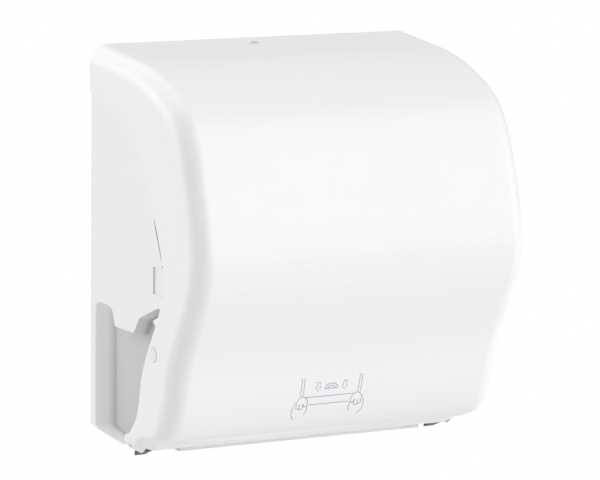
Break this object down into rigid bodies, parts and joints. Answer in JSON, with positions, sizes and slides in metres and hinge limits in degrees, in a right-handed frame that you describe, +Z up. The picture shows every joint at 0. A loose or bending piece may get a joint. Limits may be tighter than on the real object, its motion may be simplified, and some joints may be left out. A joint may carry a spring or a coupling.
{
  "type": "roll paper towel dispenser",
  "caption": "Wall-mounted mechanical roll towel dispenser: hinged rounded cover, key lock, sprung roll arm, and a drum with a swinging serrated knife that feeds and cuts sheets.",
  "frame": {"origin": "middle of the four wall screws, on the housing's back face", "axes": "+X to the right as seen by the user, +Y back into the wall (front is -Y), +Z up"},
  "size_m": [0.3428, 0.2212, 0.3704],
  "materials": {
    "front_cover": "gloss",
    "rear_housing": "satin",
    "hinge_bracket_left": "matte",
    "hinge_bracket_right": "matte",
    "hinge_pins": "satin",
    "chassis_left": "matte",
    "chassis_right": "matte",
    "frame_screws": "satin",
    "front_tie": "satin",
    "drum_bushes": "satin",
    "pinch_pivots": "satin",
    "knife_cam": "satin",
    "one_way_clutch": "satin",
    "rear_guide": "matte",
    "outlet_chute": "matte",
    "roll_arm_left": "matte",
    "roll_arm_bracket": "matte",
    "roll_arm_pin": "satin",
    "spring_anchor": "satin",
    "return_spring": "satin",
    "lock_keeper": "matte",
    "lock_case": "satin",
    "flange_plugs": "satin",
    "lock_cylinder": "polished",
    "lock_cam": "satin",
    "drum_shell": "satin",
    "grip_rings": "matte",
    "drum_cap_left": "satin",
    "drum_cap_right": "satin",
    "drum_axle": "satin",
    "crank_disc": "satin",
    "crank_pin": "satin",
    "hand_knob": "satin",
    "knife_carrier": "satin",
    "knife_blade": "polished",
    "follower_pin": "satin",
    "pinch_arm": "matte",
    "pinch_springs": "satin",
    "pinch_roller": "matte",
    "pinch_axle": "satin",
    "roll_arm_right": "matte",
    "hub_left": "satin",
    "hub_right": "satin"
  },
  "bodies": {
    "housing": {"rear_housing": "rear_housing", "hinge_bracket_left": "hinge_bracket_left", "hinge_bracket_right": "hinge_bracket_right", "hinge_pins": "hinge_pins", "chassis_left": "chassis_left", "chassis_right": "chassis_right", "frame_screws": "frame_screws", "front_tie": "front_tie", "drum_bushes": "drum_bushes", "pinch_pivots": "pinch_pivots", "knife_cam": "knife_cam", "one_way_clutch": "one_way_clutch", "rear_guide": "rear_guide", "outlet_chute": "outlet_chute", "roll_arm_left": "roll_arm_left", "roll_arm_bracket": "roll_arm_bracket", "roll_arm_pin": "roll_arm_pin", "spring_anchor": "spring_anchor", "return_spring": "return_spring", "lock_keeper": "lock_keeper"},
    "cover": {"front_cover": "front_cover", "lock_case": "lock_case", "flange_plugs": "flange_plugs"},
    "lock": {"lock_cylinder": "lock_cylinder", "lock_cam": "lock_cam"},
    "drum": {"drum_shell": "drum_shell", "grip_rings": "grip_rings", "drum_cap_left": "drum_cap_left", "drum_cap_right": "drum_cap_right", "drum_axle": "drum_axle", "crank_disc": "crank_disc", "crank_pin": "crank_pin", "hand_knob": "hand_knob"},
    "knife": {"knife_carrier": "knife_carrier", "knife_blade": "knife_blade", "follower_pin": "follower_pin"},
    "pinch_arm": {"pinch_arm": "pinch_arm", "pinch_springs": "pinch_springs"},
    "pinch_roller": {"pinch_roller": "pinch_roller", "pinch_axle": "pinch_axle"},
    "roll_arm": {"roll_arm_right": "roll_arm_right"},
    "hub_l": {"hub_left": "hub_left"},
    "hub_r": {"hub_right": "hub_right"}
  },
  "joints": [
    {"name": "cover_hinge", "type": "hinge", "parent": "housing", "child": "cover", "pos_m": [0, -0.082, -0.181], "axis": [1, 0, 0], "range_deg": [0, 95]},
    {"name": "lock_turn", "type": "hinge", "parent": "cover", "child": "lock", "pos_m": [-0.013, -0.022, 0.165], "axis": [0, 0, 1], "range_deg": [0, 90]},
    {"name": "drum_spin", "type": "hinge", "parent": "housing", "child": "drum", "pos_m": [0, -0.112, -0.108], "axis": [-1, 0, 0], "continuous": true},
    {"name": "knife_swing", "type": "hinge", "parent": "drum", "child": "knife", "pos_m": [0, -0.088, -0.118], "axis": [1, 0, 0], "range_deg": [0, 22]},
    {"name": "pinch_arm_swing", "type": "hinge", "parent": "housing", "child": "pinch_arm", "pos_m": [0, -0.036, -0.066], "axis": [1, 0, 0], "range_deg": [0, 8], "stiffness_Nm_per_rad": 4, "springref_deg": -20.05},
    {"name": "pinch_roller_spin", "type": "hinge", "parent": "pinch_arm", "child": "pinch_roller", "pos_m": [0, -0.0675, -0.0918], "axis": [-1, 0, 0], "continuous": true},
    {"name": "roll_arm_swing", "type": "hinge", "parent": "housing", "child": "roll_arm", "pos_m": [0.112, -0.013, 0.064], "axis": [0, 0, 1], "range_deg": [0, 15], "stiffness_Nm_per_rad": 2, "springref_deg": -28.65},
    {"name": "hub_left_spin", "type": "hinge", "parent": "housing", "child": "hub_l", "pos_m": [-0.0985, -0.1, 0.064], "axis": [1, 0, 0], "continuous": true},
    {"name": "hub_right_spin", "type": "hinge", "parent": "roll_arm", "child": "hub_r", "pos_m": [0.0985, -0.1, 0.064], "axis": [1, 0, 0], "continuous": true}
  ],
  "couplings": [
    {"joint": "pinch_roller_spin", "follows": "drum_spin", "ratio": -4.2222}
  ]
}
